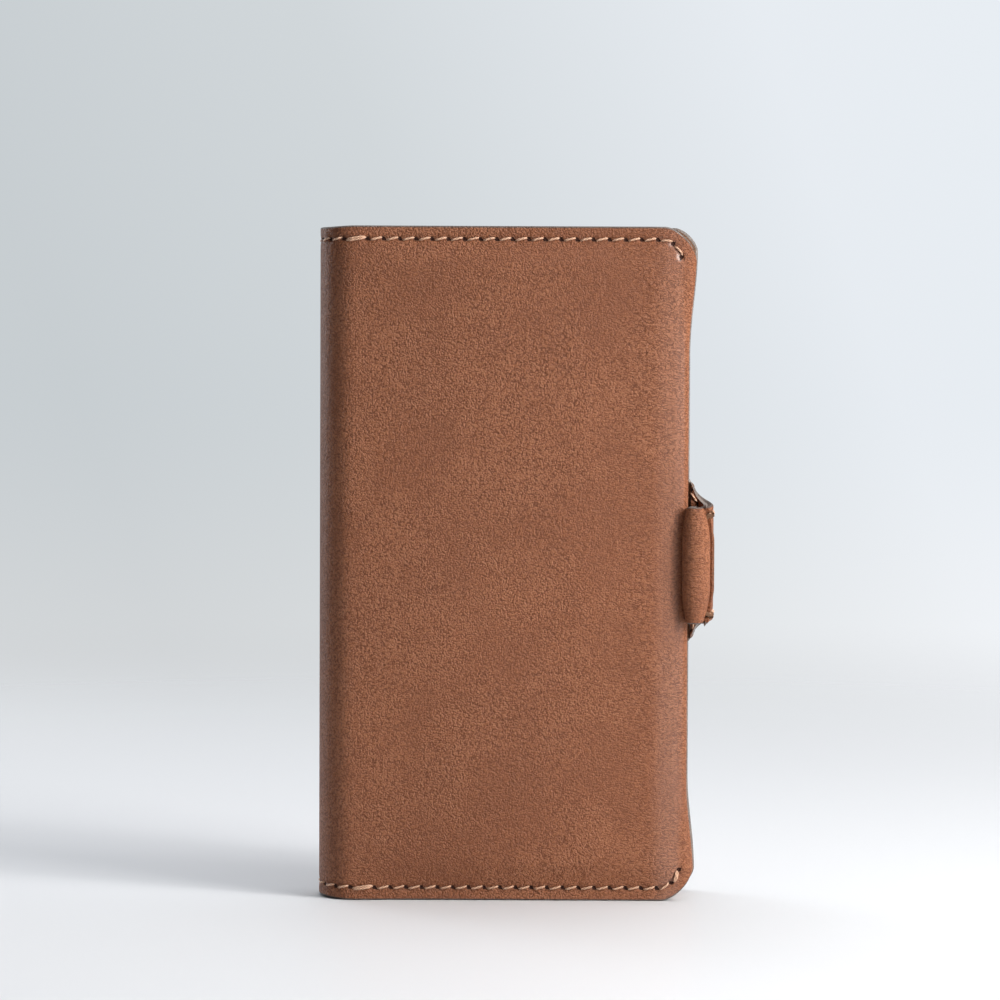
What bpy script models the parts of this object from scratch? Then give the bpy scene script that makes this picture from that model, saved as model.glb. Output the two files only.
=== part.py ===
"""Leather folio wallet: two stiff covers on a round spine, and a strap that holds them shut.

The wallet stands closed on its bottom edge.  +X runs from the spine to the fore-edge, +Y from the
front cover to the back cover, +Z up.  The origin is the centre of the bounding box, on the ground.
Lengths are in metres.  The pieces are drawn around the plane halfway between the two covers, and the
frame empty then moves that plane to its place.
"""
import math

import bmesh
import bpy
from mathutils import Vector

MM = 0.001

# Driving sizes of the closed wallet
HEIGHT = 170 * MM
COVER_WIDTH = 94 * MM          # from the back of the spine to the fore-edge
STRAP_REACH = 7.6 * MM         # how far the strap stands out past the fore-edge
THICKNESS = 19 * MM            # over both covers

# Sheet thicknesses
SHELL = 1.5 * MM               # the brown outer leather
LINING = 0.8 * MM
BOARD = 0.6 * MM
POCKET = 0.5 * MM
GAP = 0.3 * MM                 # air between pieces that lie on each other

# Places along X, measured from the middle of the overall width
TOTAL_WIDTH = COVER_WIDTH + STRAP_REACH
SPINE_BACK = -TOTAL_WIDTH / 2
FORE_EDGE = SPINE_BACK + COVER_WIDTH
STRAP_SIDE = TOTAL_WIDTH / 2
HALF = THICKNESS / 2           # also the radius of the round spine
SPINE_X = SPINE_BACK + HALF    # centre of the spine's round, where the covers begin
CORNER = 7.6 * MM              # radius of the covers' fore-edge corners

# Creases: a sheet that rolls off a half round of this radius lies flat when each crease turns 90 degrees
CREASE = math.pi * HALF / 4
CREASE_X = SPINE_X - CREASE
SPINE_END = math.radians(3)    # the spine's shell stops this far short of the half round

# Front cover: one sheet folded back on itself at the fore-edge
ROLL_LENGTH = 8 * MM           # the face starts to roll away this far from the fore-edge
ROLL_DEPTH = 3 * MM
FLAP_FACE = -HALF + 2 * SHELL + 1.2 * MM   # inner face of the folded-in flap, 1.2 mm slip pocket
FOLD_Y = -HALF + ROLL_DEPTH    # depth of the fold's outermost line

# Strap
STRAP_LOW = 70.2 * MM
STRAP_HIGH = 99.8 * MM
STRAP_BEND = 5.5 * MM          # outer radius where it leaves the back cover
STRAP_ROOT = STRAP_SIDE - STRAP_BEND - GAP   # the back cover's tab ends here
STRAP_LINING = 1.2 * MM
STRAP_HEM = 0.7 * MM           # the outer leather is pared to this where it turns back at the rolled end
ROLL_PROUD = 2.0 * MM          # how far the strap's rolled end stands in front of the cover
TAB_FLARE = 4.5 * MM           # how much wider the tab is where it meets the cover

# Thread
THREAD = 0.2 * MM              # radius
THREAD_LIFT = 0.1 * MM
THREAD_GAP = 0.12 * MM
STITCH = 4.1 * MM
MARGIN = 3.3 * MM              # from a cut edge to its row of stitches

THREAD_PROUD = THREAD_GAP + THREAD_LIFT + 2 * THREAD
FRAME_Y = (ROLL_PROUD - THREAD_PROUD) / 2

FINISHES = {                   # colour, roughness, metallic
    "outer_leather": ((0.30, 0.125, 0.065), 0.55, 0.0),
    "inner_leather": ((0.36, 0.19, 0.10), 0.65, 0.0),
    "thread": ((0.72, 0.42, 0.27), 0.6, 0.0),
    "board": ((0.23, 0.20, 0.17), 0.9, 0.0),
    "magnet_steel": ((0.55, 0.55, 0.56), 0.35, 1.0),
}


def clear_scene():
    for item in list(bpy.data.objects):
        bpy.data.objects.remove(item)


def finish(name):
    """The material of one finish."""
    if name in bpy.data.materials:
        return bpy.data.materials[name]
    colour, roughness, metallic = FINISHES[name]
    material = bpy.data.materials.new(name)
    material.use_nodes = True
    shader = material.node_tree.nodes["Principled BSDF"]
    shader.inputs["Base Color"].default_value = (*colour, 1)
    shader.inputs["Roughness"].default_value = roughness
    shader.inputs["Metallic"].default_value = metallic
    return material


def empty(name, place, parent=None):
    """A pivot at a place given around the covers' middle plane."""
    pivot = bpy.data.objects.new(name, None)
    pivot.parent = parent
    origin = Vector(parent["place"]) if parent else Vector()
    pivot.location = Vector(place) - origin if parent else place
    pivot["place"] = tuple(place) if parent else (0, 0, 0)
    bpy.context.collection.objects.link(pivot)
    return pivot


def add(name, mesh_tool, material, pivot):
    """Turn a bmesh into a named object that hangs on its pivot."""
    bmesh.ops.recalc_face_normals(mesh_tool, faces=mesh_tool.faces)
    mesh = bpy.data.meshes.new(name)
    mesh_tool.to_mesh(mesh)
    mesh_tool.free()
    piece = bpy.data.objects.new(name, mesh)
    piece.parent = pivot
    piece.location = -Vector(pivot["place"])
    bpy.context.collection.objects.link(piece)
    if material:
        mesh.materials.append(finish(material))
        mesh.shade_smooth()
        mesh.set_sharp_from_angle(angle=math.radians(35))
    return piece


def prism(outline, along):
    """Extrude a closed outline of points by a vector."""
    tool = bmesh.new()
    face = tool.faces.new([tool.verts.new(point) for point in outline])
    swept = bmesh.ops.extrude_face_region(tool, geom=[face])
    moved = [item for item in swept["geom"] if isinstance(item, bmesh.types.BMVert)]
    bmesh.ops.translate(tool, verts=moved, vec=along)
    return tool


def standing(section, low, high):
    """A prism that stands along Z on a section drawn in X and Y."""
    return prism([(x, y, low) for x, y in section], (0, 0, high - low))


def sheet(outline, front, back):
    """A flat sheet drawn in X and Z, from depth front to depth back."""
    return prism([(x, front, z) for x, z in outline], (0, back - front, 0))


def rectangle(left, bottom, right, top):
    return [(left, bottom), (right, bottom), (right, top), (left, top)]


def arc(centre, radius, start, end, steps):
    """Points on an arc from one angle to another, in degrees; radius may be a pair for an ellipse."""
    across, up = radius if isinstance(radius, tuple) else (radius, radius)
    angles = [math.radians(start + (end - start) * i / steps) for i in range(steps + 1)]
    return [(centre[0] + across * math.cos(a), centre[1] + up * math.sin(a)) for a in angles]


def ribbon(path, near, far):
    """Outline of a band beside a path, between two distances to the left of its direction.

    The far distance is one number, or one for each point of the path.
    """
    far = far if isinstance(far, list) else [far] * len(path)
    points = [Vector(point) for point in path]
    sides = []
    for i, point in enumerate(points):
        before = points[max(i - 1, 0)]
        after = points[min(i + 1, len(points) - 1)]
        along = (after - before).normalized()
        sides.append((point, Vector((-along.y, along.x))))
    left = [point + side * near for point, side in sides]
    right = [point + side * reach for (point, side), reach in zip(sides, far)]
    right.reverse()
    return [tuple(point) for point in left + right]


def round_corners(left, right, low, high, radius, steps=6):
    """A panel with square corners on the left and round ones at the fore-edge."""
    lower = arc((right - radius, low + radius), radius, -90, 0, steps)
    upper = arc((right - radius, high - radius), radius, 0, 90, steps)
    return [(left, high), (left, low)] + lower + upper


def cutter(name, tool, target, pivot):
    """Cut a shape out of a piece; the shape itself is only a guide."""
    guide = add(name, tool, None, pivot)
    guide.hide_render = True
    guide.display_type = "WIRE"
    cut = target.modifiers.new(name, "BOOLEAN")
    cut.object = guide
    cut.operation = "DIFFERENCE"
    return guide


def tube(points, radius, sides=6):
    """A round cord through points, with flat ends; its rings stay square to the route."""
    tool = bmesh.new()
    points = [Vector(point) for point in points]
    rings = []
    for i, point in enumerate(points):
        along = (points[min(i + 1, len(points) - 1)] - points[max(i - 1, 0)]).normalized()
        across = along.cross(Vector((0, 0, 1)))
        if across.length < 0.3:
            across = along.cross(Vector((0, 1, 0)))
        across.normalize()
        if rings and across.dot(rings[-1][1]) < 0:
            across.negate()
        rise = across.cross(along)
        turns = [2 * math.pi * k / sides for k in range(sides)]
        ring = [tool.verts.new(point + (across * math.cos(t) + rise * math.sin(t)) * radius) for t in turns]
        rings.append((ring, across))
    for (one, _), (two, _) in zip(rings, rings[1:]):
        for k in range(sides):
            tool.faces.new((one[k], one[k - 1], two[k - 1], two[k]))
    tool.faces.new(rings[0][0])
    tool.faces.new(list(reversed(rings[-1][0])))
    return tool


def walk(route, step):
    """Evenly spaced points along a route of (point, outward normal) pairs."""
    lengths = [0.0]
    for (one, _), (two, _) in zip(route, route[1:]):
        lengths.append(lengths[-1] + (Vector(two) - Vector(one)).length)
    count = max(2, round(lengths[-1] / step))
    leg = 0
    for i in range(count + 1):
        target = lengths[-1] * i / count
        while leg < len(route) - 2 and lengths[leg + 1] < target:
            leg += 1
        share = (target - lengths[leg]) / (lengths[leg + 1] - lengths[leg])
        point = Vector(route[leg][0]).lerp(Vector(route[leg + 1][0]), share)
        normal = Vector(route[leg][1]).lerp(Vector(route[leg + 1][1]), share).normalized()
        yield i, point, normal


def stitch_row(name, route, pivot):
    """One continuous thread that rises over each stitch and dips at each hole."""
    points = []
    for i, point, normal in walk(route, STITCH / 2):
        lift = THREAD_LIFT if i % 2 else 0
        points.append(point + normal * (THREAD_GAP + THREAD + lift))
    return add(name, tube(points, THREAD), "thread", pivot)


def mirrored_rows(lower, upper, route_at, pivot):
    """The same row near the bottom edge and, upside down, near the top edge."""
    route = route_at()
    stitch_row(lower, route, pivot)
    flipped = [((x, y, HEIGHT - z), (nx, ny, -nz)) for (x, y, z), (nx, ny, nz) in route]
    stitch_row(upper, flipped, pivot)


# The front cover's face: flat, then rolling away towards the fold at the fore-edge
def face_depth(x):
    over = max(0.0, x - (FORE_EDGE - ROLL_LENGTH)) / ROLL_LENGTH
    return FOLD_Y - ROLL_DEPTH * math.sqrt(max(0.0, 1 - over * over))


def face_normal(x):
    over = min(max(0.0, x - (FORE_EDGE - ROLL_LENGTH)) / ROLL_LENGTH, 0.999)
    slope = over * ROLL_DEPTH / ROLL_LENGTH / math.sqrt(1 - over * over)
    return Vector((slope, -1, 0)).normalized()


def strap_path():
    """The strap's outer face seen from above, from its root on the back cover to its rolled end."""
    bend = arc((STRAP_SIDE - STRAP_BEND, HALF - STRAP_BEND), STRAP_BEND, 90, 0, 6)
    crest = (FORE_EDGE + 2.4 * MM, -HALF - ROLL_PROUD)
    brow = arc((crest[0], crest[1] + 3.6 * MM), (3.4 * MM, 3.6 * MM), 0, -90, 5)
    nose = arc((crest[0] - 1.6 * MM, crest[1] + 1.75 * MM), (2.2 * MM, 1.75 * MM), -90, -200, 6)
    hem = [(FORE_EDGE + 0.9 * MM, crest[1] + 4.1 * MM), (FORE_EDGE + 2.2 * MM, crest[1] + 4.4 * MM)]
    return bend + brow + nose[1:] + hem


def build_back_cover(frame):
    edge = FORE_EDGE - 0.4 * MM
    middle = (STRAP_LOW + STRAP_HIGH) / 2
    tab = [(edge, STRAP_LOW - TAB_FLARE), (edge + 0.5 * MM, STRAP_LOW - 2.4 * MM), (STRAP_ROOT, STRAP_LOW)]
    outline = round_corners(SPINE_X, edge, 0, HEIGHT, CORNER)
    lower = outline[:9]
    upper = outline[9:]
    flare = tab + [(x, 2 * middle - z) for x, z in reversed(tab)]
    add("back_cover_leather", sheet(lower + flare + upper, HALF - SHELL, HALF), "outer_leather", frame)

    board_back = HALF - SHELL - GAP
    board = round_corners(SPINE_X + 3 * MM, edge - 2 * MM, 4 * MM, HEIGHT - 4 * MM, CORNER - 2 * MM, 4)
    add("back_stiffener", sheet(board, board_back - BOARD, board_back), "board", frame)

    lining_back = board_back - BOARD - GAP
    lining = round_corners(SPINE_X + 2 * MM, edge - 0.6 * MM, 1 * MM, HEIGHT - 1 * MM, CORNER - 1 * MM)
    add("back_lining_leather", sheet(lining, lining_back - LINING, lining_back), "inner_leather", frame)
    return lining_back - LINING


def build_phone_sleeve(frame, lining_face):
    """A moulded leather tray that is open towards the spine, with a thumb notch in its mouth."""
    wall = 1.2 * MM
    cover = 1.0 * MM
    depth = 7.7 * MM
    left, right = SPINE_X + 2 * MM, FORE_EDGE - 3 * MM
    low, high = 5 * MM, HEIGHT - 5 * MM
    front = lining_face - depth - cover
    outline = round_corners(left, right, low, high, 5 * MM)
    sleeve = add("phone_sleeve", sheet(outline, front, lining_face - GAP), "inner_leather", frame)
    room = round_corners(left - wall, right - wall, low + wall, high - wall, 4 * MM)
    cutter("sleeve_room", sheet(room, front + cover, lining_face + wall), sleeve, frame)
    notch = arc((left, HEIGHT / 2), 12 * MM, -90, 90, 12)
    notch += [(left - wall, HEIGHT / 2 + 12 * MM), (left - wall, HEIGHT / 2 - 12 * MM)]
    cutter("sleeve_notch", sheet(notch, front - wall, front + cover + wall), sleeve, frame)
    return front


def build_spine(pivot):
    start, end = 90 + math.degrees(SPINE_END), 270 - math.degrees(SPINE_END)
    sheets = (("spine_leather", HALF, SHELL, 0.5 * MM, "outer_leather", 20),
              ("spine_lining", HALF - SHELL - GAP, LINING, 3 * MM, "inner_leather", 14))
    for name, radius, depth, inset, material, steps in sheets:
        section = arc((SPINE_X, 0), radius, start, end, steps)
        section += arc((SPINE_X, 0), radius - depth, end, start, steps)
        add(name, standing(section, inset, HEIGHT - inset), material, pivot)

    def route():
        points = arc((SPINE_X, 0), HALF, start + 1, end - 1, 24)
        return [((x, y, MARGIN), Vector((x - SPINE_X, y, 0)).normalized()) for x, y in points]

    mirrored_rows("spine_bottom_thread", "spine_top_thread", route, pivot)


def build_front_cover(pivot):
    """One sheet: the face, the fold at the fore-edge and the flap that comes back inside."""
    roll = (ROLL_LENGTH, ROLL_DEPTH)
    roll_x = FORE_EDGE - ROLL_LENGTH
    back_roll = (2.6 * MM, FLAP_FACE - FOLD_Y)
    outer = [(SPINE_X, -HALF)] + arc((roll_x, FOLD_Y), roll, -90, 0, 10)
    outer += arc((FORE_EDGE - back_roll[0], FOLD_Y), back_roll, 0, 90, 4)[1:]
    flap_end = SPINE_X + 4 * MM
    flap_back = FLAP_FACE - SHELL
    inner_roll = (ROLL_LENGTH - SHELL, ROLL_DEPTH - SHELL)
    stop = math.degrees(math.asin((flap_back - FOLD_Y) / inner_roll[1]))
    inner = arc((roll_x, FOLD_Y), inner_roll, stop, -90, 8)
    section = outer + [(flap_end, FLAP_FACE), (flap_end, flap_back)] + inner + [(SPINE_X, -HALF + SHELL)]
    shell = add("front_cover_leather", standing(section, 0, HEIGHT), "outer_leather", pivot)

    reach = 2 * MM
    for name, side in (("lower_corner_cut", -1), ("upper_corner_cut", 1)):
        edge = HEIGHT if side > 0 else 0
        round_off = arc((FORE_EDGE - CORNER, edge - side * CORNER), CORNER, 0, side * 90, 8)
        outside = [(FORE_EDGE - CORNER, edge + side * reach), (FORE_EDGE + reach, edge + side * reach),
                   (FORE_EDGE + reach, edge - side * CORNER)]
        cutter(name, sheet(round_off + outside, -HALF - reach, FLAP_FACE + reach), shell, pivot)

    pocket_front = -HALF + SHELL + GAP
    board = rectangle(SPINE_X + 2 * MM, 4 * MM, FORE_EDGE - 13 * MM, HEIGHT - 4 * MM)
    add("front_stiffener", sheet(board, pocket_front, pocket_front + BOARD), "board", pivot)
    middle = (STRAP_LOW + STRAP_HIGH) / 2
    keeper = rectangle(FORE_EDGE - 12 * MM, middle - 13 * MM, FORE_EDGE - 6.5 * MM, middle + 13 * MM)
    add("keeper_plate", sheet(keeper, pocket_front + 0.1 * MM, pocket_front + BOARD), "magnet_steel", pivot)

    def route():
        turn_x, turn_z = FORE_EDGE - CORNER, CORNER
        radius = CORNER - MARGIN
        line = [(SPINE_X + 0.6 * MM, MARGIN), (FORE_EDGE - ROLL_LENGTH, MARGIN)]
        line += arc((turn_x, turn_z), radius, -90, -5, 6)
        return [((x, face_depth(x), z), face_normal(x)) for x, z in line]

    mirrored_rows("front_bottom_thread", "front_top_thread", route, pivot)


def build_card_pockets(pivot):
    """Three staggered pockets on the flap, the shortest one nearest to the reader."""
    left, right = SPINE_X + 5 * MM, FORE_EDGE - 9 * MM
    step = POCKET + 0.2 * MM
    for i, mouth in enumerate((145 * MM, 125 * MM, 105 * MM)):
        front = FLAP_FACE + GAP + i * step
        outline = rectangle(left, 2 * MM, right, mouth)
        add(f"card_pocket_{i + 1}", sheet(outline, front, front + POCKET), "inner_leather", pivot)


def build_back_threads(frame):
    """The back's rows run along an edge, round the corner and down the fore-edge to the strap."""
    def route():
        edge = FORE_EDGE - 0.4 * MM
        line = [(SPINE_X + 0.6 * MM, MARGIN)]
        line += arc((edge - CORNER, CORNER), CORNER - MARGIN, -90, 0, 6)
        line += [(edge - MARGIN, STRAP_LOW - TAB_FLARE), (edge - 0.8 * MM, STRAP_LOW + MARGIN - 1 * MM)]
        return [((x, HALF, z), (0, 1, 0)) for x, z in line]

    mirrored_rows("back_bottom_thread", "back_top_thread", route, frame)


def build_strap(pivot):
    path = strap_path()
    straight, lined = path[:13], path[:9]
    pared = [-SHELL] * len(straight) + [-STRAP_HEM] * (len(path) - len(straight))
    add("strap_outer_leather", standing(ribbon(path, 0, pared), STRAP_LOW, STRAP_HIGH),
        "outer_leather", pivot)
    near, far = -(SHELL + GAP), -(SHELL + GAP + STRAP_LINING)
    add("strap_lining_leather", standing(ribbon(lined, near, far), STRAP_LOW, STRAP_HIGH),
        "inner_leather", pivot)
    crest = -HALF - ROLL_PROUD + SHELL + GAP
    bar = rectangle(FORE_EDGE + 0.9 * MM, crest, FORE_EDGE + 2.9 * MM, crest + 0.9 * MM)
    add("strap_magnet_bar", standing(bar, STRAP_LOW + 5 * MM, STRAP_HIGH - 5 * MM), "magnet_steel", pivot)

    stitched = path[:8]
    for name, height in (("strap_bottom_thread", STRAP_LOW + MARGIN - 0.3 * MM),
                         ("strap_top_thread", STRAP_HIGH - MARGIN + 0.3 * MM)):
        route = []
        for i, (x, y) in enumerate(stitched):
            ahead = Vector(stitched[min(i + 1, len(stitched) - 1)])
            behind = Vector(stitched[max(i - 1, 0)])
            along = (ahead - behind).normalized()
            route.append(((x, y, height), (-along.y, along.x, 0)))
        stitch_row(name, route, pivot)


def build():
    clear_scene()
    frame = empty("wallet_frame", (0, FRAME_Y, 0))
    spine = empty("back_crease", (CREASE_X, CREASE, HEIGHT / 2), frame)
    front = empty("front_crease", (CREASE_X, -CREASE, HEIGHT / 2), spine)
    strap = empty("strap_root", (STRAP_ROOT + GAP / 2, HALF + GAP, (STRAP_LOW + STRAP_HIGH) / 2), frame)
    lining_face = build_back_cover(frame)
    build_phone_sleeve(frame, lining_face)
    build_back_threads(frame)
    build_spine(spine)
    build_front_cover(front)
    build_card_pockets(front)
    build_strap(strap)


build()
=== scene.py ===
# %% [markdown]
# # A leather folio wallet
#
# This lesson dresses a plain model of a folio wallet: two covers on a round spine, sewn along the top and
# bottom edges, with a strap that comes round the fore-edge and holds them shut.  The plain model, the frame,
# already knows how big everything is and how the covers turn, so every size here is read from it or is a
# short length in millimetres that a leather worker would know, such as the distance between two stitches.

import math

import bmesh
import bpy
import numpy as np
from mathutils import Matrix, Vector


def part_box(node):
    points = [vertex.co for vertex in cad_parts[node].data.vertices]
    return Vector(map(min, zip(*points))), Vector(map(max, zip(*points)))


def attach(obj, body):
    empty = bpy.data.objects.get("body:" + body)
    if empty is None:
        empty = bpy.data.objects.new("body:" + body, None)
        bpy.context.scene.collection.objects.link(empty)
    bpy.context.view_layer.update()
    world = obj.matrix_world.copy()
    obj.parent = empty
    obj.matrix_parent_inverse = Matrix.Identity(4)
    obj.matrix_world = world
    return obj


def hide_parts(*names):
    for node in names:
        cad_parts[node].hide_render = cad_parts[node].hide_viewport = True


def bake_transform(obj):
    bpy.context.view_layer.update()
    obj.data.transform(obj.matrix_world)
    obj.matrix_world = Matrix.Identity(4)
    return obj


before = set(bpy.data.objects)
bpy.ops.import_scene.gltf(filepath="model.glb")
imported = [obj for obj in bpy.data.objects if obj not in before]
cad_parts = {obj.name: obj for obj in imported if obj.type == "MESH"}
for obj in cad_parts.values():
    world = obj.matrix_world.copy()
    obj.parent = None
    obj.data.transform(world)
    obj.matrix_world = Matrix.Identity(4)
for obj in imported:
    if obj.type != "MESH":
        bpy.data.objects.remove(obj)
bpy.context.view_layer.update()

# %% [markdown]
# ## Measures
#
# The covers are flat sheets, so their outer faces are planes that the frame gives.  The spine is half a tube
# whose radius is half the wallet's thickness.  The sewn corners stand out a little past the middle of the
# fore-edge, because the stitching presses them flat while the soft fold between them pulls in.

# %% Measures
MM = 0.001
back_low, back_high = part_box("back_cover_leather")
front_low, front_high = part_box("front_cover_leather")
strap_low, strap_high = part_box("strap_outer_leather")
lining_low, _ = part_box("back_lining_leather")

HEIGHT = back_high.z
FRONT_Y, BACK_Y = front_low.y, back_high.y
MIDDLE_Y = (FRONT_Y + BACK_Y) / 2
RADIUS = (BACK_Y - FRONT_Y) / 2
SPINE_X = back_low.x
QUARTER = RADIUS * math.pi / 2             # length of leather from a cover to the middle of the spine
CORNER_X = front_high.x + 0.9 * MM         # where the pressed corners end
WAIST = 1.8 * MM                           # how far the fold pulls in between them
SOFT_X = CORNER_X - 34 * MM                # the fold's pull and its creases begin here
CORNER = 8 * MM
FLAP_Y = front_high.y                      # inner face of the folded-in flap
LINING_Y = lining_low.y
STRAP_Z = (strap_low.z + strap_high.z) / 2
STRAP_HALF = (strap_high.z - strap_low.z) / 2

SHELL = 1.3 * MM                           # thickness of the outer leather
BURNISH = 0.32 * MM                        # how far its cut edges are rounded
PITCH = 4.04 * MM                          # from one stitch hole to the next
MARGIN = 3.25 * MM                         # from a cut edge to its row of holes
print(f"closed wallet: {CORNER_X - SPINE_X + RADIUS:.4f} m wide, {HEIGHT:.3f} m tall,",
      f"spine radius {RADIUS:.4f} m")


# %% [markdown]
# ## Small tools for curves
#
# `ease` is the S-shaped step that turns one length into another without a crease.  `bezier` samples a cubic
# curve from its four handles, which is enough for a rolled leather edge.  Both work on whole arrays, so a
# surface of ten thousand points is one expression.

# %% Curve tools
def ease(value, start, end):
    share = np.clip((value - start) / (end - start), 0, 1)
    return share * share * (3 - 2 * share)


def bezier(share, *handles):
    a, b, c, d = (np.array(handle, float) for handle in handles)
    t = np.asarray(share)[..., None]
    return a * (1 - t) ** 3 + 3 * b * t * (1 - t) ** 2 + 3 * c * t * t * (1 - t) + d * t ** 3


def spread(start, stop, step):
    """Places from start to stop; the step size is a length, or a function of the place."""
    step_at = step if callable(step) else lambda place: step
    places = [start]
    while places[-1] + 1.5 * step_at(places[-1]) < stop:
        places.append(places[-1] + step_at(places[-1]))
    return np.array(places + [stop])


def stretches(*stops):
    """Places through several stops; each stop but the last comes with the step size that follows it."""
    parts = [spread(start, after[0], step)[:-1] for (start, step), after in zip(stops, stops[1:])]
    return np.concatenate(parts + [stops[-1]])


def arc(x, z, radius, start, stop, count):
    """Points of an arc round (x, z), between two angles in degrees."""
    return [(x + radius * math.cos(a), z + radius * math.sin(a))
            for a in np.radians(np.linspace(start, stop, count))]


def ripple(x, z, size):
    """Slow uneven swell of a soft sheet, from a few waves that don't repeat together."""
    waves = ((83, 61, 0.3), (37, -47, 1.9), (-29, 97, 4.1), (121, 23, 2.6))
    total = sum(np.sin(x * a + z * b + c) for a, b, c in waves)
    return size * total / len(waves)


# %% [markdown]
# ## The front sheet as a formula
#
# The front cover is one sheet that starts in the middle of the spine, goes over the face, folds at the
# fore-edge and comes back inside as a flap.  A point on it is given by `u`, the distance along the leather
# from where the spine ends, and by its height.  The formula turns that into a place.  Writing the sheet this
# way means that the thread, the holes and the groove can all follow the same leather.

# %% The front sheet
ROLL = 8 * MM
FACE_END = CORNER_X - ROLL - SPINE_X       # u where the face begins to roll over
ROLL_U = 9.0 * MM                          # leather in the roll, and in the turn behind it
TURN_U = 4.8 * MM
FOLD_DEPTH = 2.9 * MM
FLAP_DEPTH = FLAP_Y - FRONT_Y
TURN_BACK = 3.4 * MM                       # how far from the fore-edge the flap lies flat
FLAP_U = CORNER_X - TURN_BACK - (SPINE_X + 1.2 * MM)
CUT_POWER = 1.6                            # 2 would cut the corners as quarter circles, 1 as chamfers


def round_spine(u, end=None):
    """Place across the wallet and depth below the face, from the middle of the spine to u = end."""
    angle = np.clip(-np.asarray(u, float) / RADIUS, 0, math.pi / 2)
    return SPINE_X + np.clip(u, 0, end) - RADIUS * np.sin(angle), RADIUS * (1 - np.cos(angle))


def front_section(u):
    """Nominal place across the wallet, and depth behind the face, of the leather at u."""
    u = np.asarray(u, float)
    x, depth = round_spine(u, FACE_END)
    roll = bezier(np.clip((u - FACE_END) / ROLL_U, 0, 1),
                  (0, 0), (3.6 * MM, 0.25 * MM), (ROLL, 0.9 * MM), (ROLL, FOLD_DEPTH))
    turn = bezier(np.clip((u - FACE_END - ROLL_U) / TURN_U, 0, 1),
                  (0, 0), (0, 0.9 * MM), (-1.6 * MM, FLAP_DEPTH - FOLD_DEPTH),
                  (-TURN_BACK, FLAP_DEPTH - FOLD_DEPTH))
    x = x + roll[..., 0] + turn[..., 0]
    x = x - np.clip(u - FACE_END - ROLL_U - TURN_U, 0, None)
    return x, depth + roll[..., 1] + turn[..., 1]


def waist(x, z):
    """How far the soft fold pulls the leather in towards the spine."""
    inward = ease(x, SOFT_X, CORNER_X - 6 * MM)
    return WAIST * ease(z, 6 * MM, 30 * MM) * ease(z, HEIGHT - 6 * MM, HEIGHT - 32 * MM) * inward


def press(z):
    """1 at the sewn margins, 0 in the soft middle."""
    return 1 - ease(z, 2 * MM, 11 * MM) * ease(z, HEIGHT - 2 * MM, HEIGHT - 11 * MM)


def crown(x, z, power=1.0):
    """0 at the margins of a cover, 1 in its middle."""
    across = np.clip((x - SPINE_X) / (CORNER_X - SPINE_X), 0, 1)
    return np.sin(across * math.pi) ** power * (1 - press(z))


def front_surface(u, z):
    x, depth = front_section(u)
    cover = ease(x, SPINE_X, SPINE_X + 16 * MM)
    centre = FLAP_DEPTH / 2
    depth = centre + (depth - centre) * (1 - 0.3 * press(z) * cover)
    rise = 1 - np.exp(-np.clip(x - SPINE_X + 3 * MM, 0, None) / (13 * MM))
    swell = (1.2 * MM * rise + ripple(x, z, 0.2 * MM)) * crown(x, z, 0.6)
    swell = swell * (1 - ease(x, CORNER_X - 11 * MM, CORNER_X)) * (np.asarray(u) < FACE_END + ROLL_U)
    return np.stack([x - waist(x, z), FRONT_Y + depth - swell, z + 0 * x], -1)


def corner_lift(x, size=CORNER):
    """How far the cut corner lifts the edge at x: flatter than a quarter circle, nearly a chamfer."""
    over = np.clip((x - (CORNER_X - size)) / size, 0, 0.998)
    return size * (1 - (1 - over ** CUT_POWER) ** (1 / CUT_POWER))


def spine_lift(x):
    """The spine's ends are pared back a little."""
    return 0.4 * MM * ease(x, SPINE_X, SPINE_X - RADIUS)


# %% [markdown]
# ## The back sheet and the strap
#
# The back cover is the same leather: spine, flat back and, in the middle of the fore-edge, a tab that narrows
# in a hollow curve and becomes the strap.  The strap bends forward round the fore-edge and ends in a bar,
# folded round a core.  Seen from the front the bar is a lens: wide in the middle and pinched at both ends.

# %% The back sheet and the strap
OVERHANG = 1.1 * MM                        # the back cover stands out this much past the front
BACK_EDGE = CORNER_X + OVERHANG
BEND = 5.2 * MM
BAR_PINCH = 9 * MM                         # length over which the bar narrows towards each end
BAR_Y = FRONT_Y + 0.2 * MM
FLARE = 6.3 * MM                           # how far the tab widens, to each side, where it leaves the cover
FLARE_LENGTH = 2.7 * MM
FLARE_POINTS = 22                          # the flare is over after this many points of the section
FLAT_POINTS, BEND_POINTS, RUN_POINTS, TURN_POINTS, BAR_POINTS, HEM_POINTS = 8, 15, 14, 8, 43, 3


def back_surface(u, z):
    x, depth = round_spine(u)
    swell = (0.1 * MM + ripple(x, z + 0.4, 0.12 * MM)) * crown(x, z)
    return np.stack([x - waist(x, z), BACK_Y - depth + swell, z + 0 * x], -1)


def bar_width(z):
    """0 at the pinched ends of the bar, 1 along its middle."""
    to_end = np.clip(STRAP_HALF - np.abs(z - STRAP_Z), 0, BAR_PINCH)
    return 1 - (1 - to_end / BAR_PINCH) ** 1.7


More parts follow.
